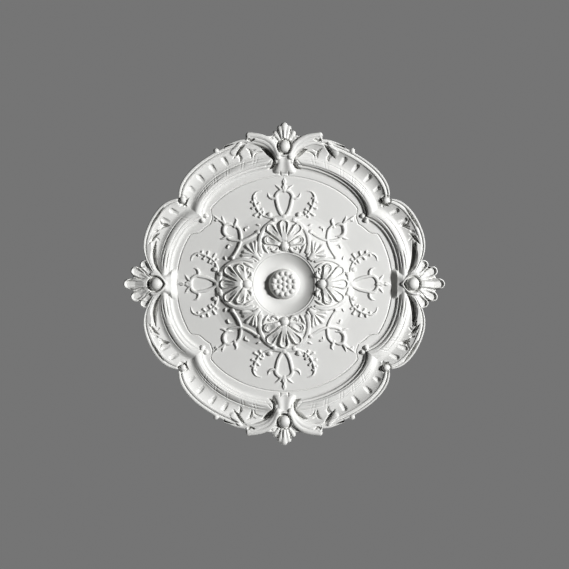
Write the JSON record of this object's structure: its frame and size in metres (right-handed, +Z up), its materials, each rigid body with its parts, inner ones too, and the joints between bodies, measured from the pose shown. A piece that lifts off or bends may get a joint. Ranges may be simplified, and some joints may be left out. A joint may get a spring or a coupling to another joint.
{
  "type": "ceiling rose",
  "caption": "Round, lobed ceiling rose moulded in one piece, with side shells, end crests, a fluted rim and a dished centre boss on a strapwork field.",
  "frame": {"origin": "centre of the flat back, where the rose is glued to the ceiling", "axes": "+Z up into the ceiling, the carved face looks down -Z; the shells stand at the two X ends and the leaf crests at the two Y ends"},
  "size_m": [0.385, 0.3868, 0.024],
  "materials": {
    "primed_foam": "matt white primer on moulded rigid polyurethane"
  },
  "bodies": {
    "root": {"ceiling_rose": "primed_foam"}
  },
  "joints": []
}
